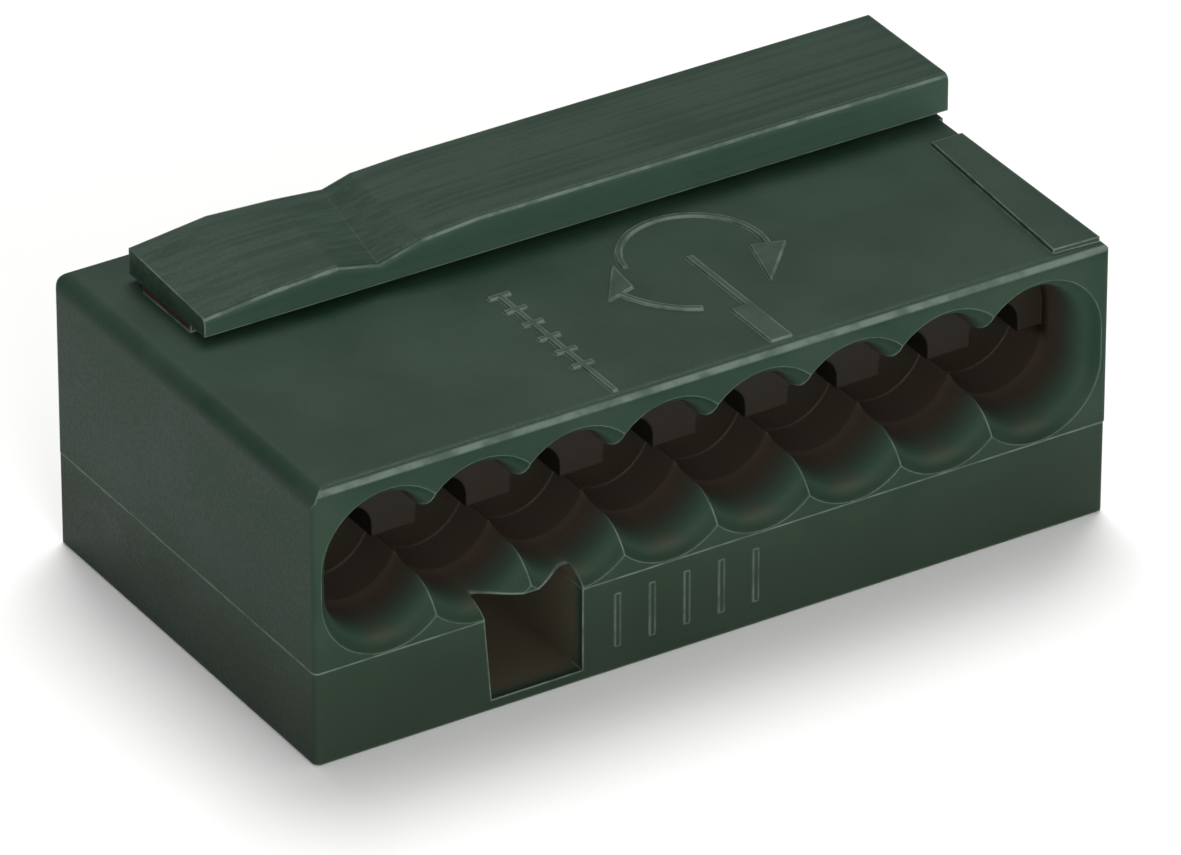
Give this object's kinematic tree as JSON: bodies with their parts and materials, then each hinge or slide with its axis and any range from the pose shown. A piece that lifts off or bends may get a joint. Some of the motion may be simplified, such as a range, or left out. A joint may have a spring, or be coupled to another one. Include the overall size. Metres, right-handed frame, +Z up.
{
  "type": "push-in wire connector",
  "caption": "Dark green multi-pole push-in wire connector with funnel wire entries, a mounting rail on top and sprung tongues inside.",
  "frame": {"origin": "centre of the underside", "axes": "+X along the row of wire entries, -Y out of the entries, +Z up"},
  "size_m": [0.0185, 0.01, 0.0071],
  "materials": {
    "case_plastic": "satin",
    "tinned_copper": "satin",
    "spring_steel": "brushed"
  },
  "bodies": {
    "case": {"housing": "case_plastic", "base_tray": "case_plastic", "busbar": "tinned_copper", "spring_leg_1": "spring_steel", "spring_leg_2": "spring_steel", "spring_leg_3": "spring_steel", "spring_leg_4": "spring_steel", "spring_leg_5": "spring_steel", "spring_leg_6": "spring_steel", "spring_leg_7": "spring_steel", "spring_leg_8": "spring_steel"},
    "tongue_1": {"spring_tongue_1": "spring_steel"},
    "tongue_2": {"spring_tongue_2": "spring_steel"},
    "tongue_3": {"spring_tongue_3": "spring_steel"},
    "tongue_4": {"spring_tongue_4": "spring_steel"},
    "tongue_5": {"spring_tongue_5": "spring_steel"},
    "tongue_6": {"spring_tongue_6": "spring_steel"},
    "tongue_7": {"spring_tongue_7": "spring_steel"},
    "tongue_8": {"spring_tongue_8": "spring_steel"}
  },
  "joints": [
    {"name": "tongue_flex_1", "type": "hinge", "parent": "case", "child": "tongue_1", "pos_m": [-0.00749, -0.00072, 0.00224], "axis": [-1, 0, 0], "range_deg": [0, 16], "stiffness_Nm_per_rad": 0.047},
    {"name": "tongue_flex_2", "type": "hinge", "parent": "case", "child": "tongue_2", "pos_m": [-0.00535, -0.00072, 0.00224], "axis": [-1, 0, 0], "range_deg": [0, 16], "stiffness_Nm_per_rad": 0.047},
    {"name": "tongue_flex_3", "type": "hinge", "parent": "case", "child": "tongue_3", "pos_m": [-0.00321, -0.00072, 0.00224], "axis": [-1, 0, 0], "range_deg": [0, 16], "stiffness_Nm_per_rad": 0.047},
    {"name": "tongue_flex_4", "type": "hinge", "parent": "case", "child": "tongue_4", "pos_m": [-0.00107, -0.00072, 0.00224], "axis": [-1, 0, 0], "range_deg": [0, 16], "stiffness_Nm_per_rad": 0.047},
    {"name": "tongue_flex_5", "type": "hinge", "parent": "case", "child": "tongue_5", "pos_m": [0.00107, -0.00072, 0.00224], "axis": [-1, 0, 0], "range_deg": [0, 16], "stiffness_Nm_per_rad": 0.047},
    {"name": "tongue_flex_6", "type": "hinge", "parent": "case", "child": "tongue_6", "pos_m": [0.00321, -0.00072, 0.00224], "axis": [-1, 0, 0], "range_deg": [0, 16], "stiffness_Nm_per_rad": 0.047},
    {"name": "tongue_flex_7", "type": "hinge", "parent": "case", "child": "tongue_7", "pos_m": [0.00535, -0.00072, 0.00224], "axis": [-1, 0, 0], "range_deg": [0, 16], "stiffness_Nm_per_rad": 0.047},
    {"name": "tongue_flex_8", "type": "hinge", "parent": "case", "child": "tongue_8", "pos_m": [0.00749, -0.00072, 0.00224], "axis": [-1, 0, 0], "range_deg": [0, 16], "stiffness_Nm_per_rad": 0.047}
  ]
}
